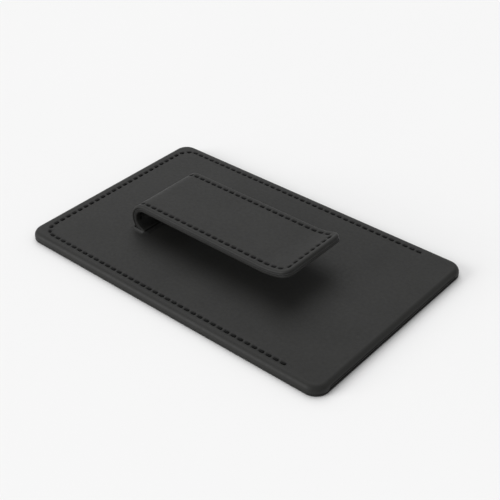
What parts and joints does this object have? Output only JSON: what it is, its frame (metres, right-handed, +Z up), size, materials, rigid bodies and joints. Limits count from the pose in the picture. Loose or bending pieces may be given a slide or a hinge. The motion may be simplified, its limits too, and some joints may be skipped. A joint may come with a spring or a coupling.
{
  "type": "money clip",
  "caption": "Slim black leather card wallet with a leather-covered sprung clip arm that holds folded banknotes against its front, and a thin card pocket open at one end.",
  "frame": {"origin": "middle of the underside, on the surface that the wallet lies on", "axes": "+X along the clip arm, from its bend to its free tip and the card pocket's mouth; +Y along the wallet's short side; +Z up, out of the front panel"},
  "size_m": [0.1146, 0.072, 0.0144],
  "materials": {
    "leather": "smooth black leather with a fine grain and a low sheen",
    "board": "bonded leather board with black painted edges",
    "lining": "thin black woven lining",
    "thread": "black bonded sewing thread",
    "spring_steel": "rolled spring steel strip"
  },
  "bodies": {
    "wallet": {"back_panel": "leather", "back_lining": "lining", "pocket_stop": "board", "pocket_rim_front": "board", "pocket_rim_back": "board", "pocket_lining": "lining", "stiffener_board": "board", "strap_tail": "leather", "spring_leg": "spring_steel", "front_panel": "leather", "front_thread": "thread", "left_thread": "thread", "back_thread": "thread", "front_bobbin": "thread", "left_bobbin": "thread", "back_bobbin": "thread"},
    "arm": {"clip_spring": "spring_steel", "arm_cover": "leather", "arm_lining": "leather", "arm_filler": "board", "arm_front_thread": "thread", "arm_back_thread": "thread", "arm_tip_thread": "thread", "arm_front_bobbin": "thread", "arm_back_bobbin": "thread", "arm_tip_bobbin": "thread"}
  },
  "joints": [
    {"name": "clip_hinge", "type": "hinge", "parent": "wallet", "child": "arm", "pos_m": [-0.02857, 0, 0.00653], "axis": [0, -1, 0], "range_deg": [-7.6, 12], "stiffness_Nm_per_rad": 0.6, "springref_deg": -22.92}
  ]
}
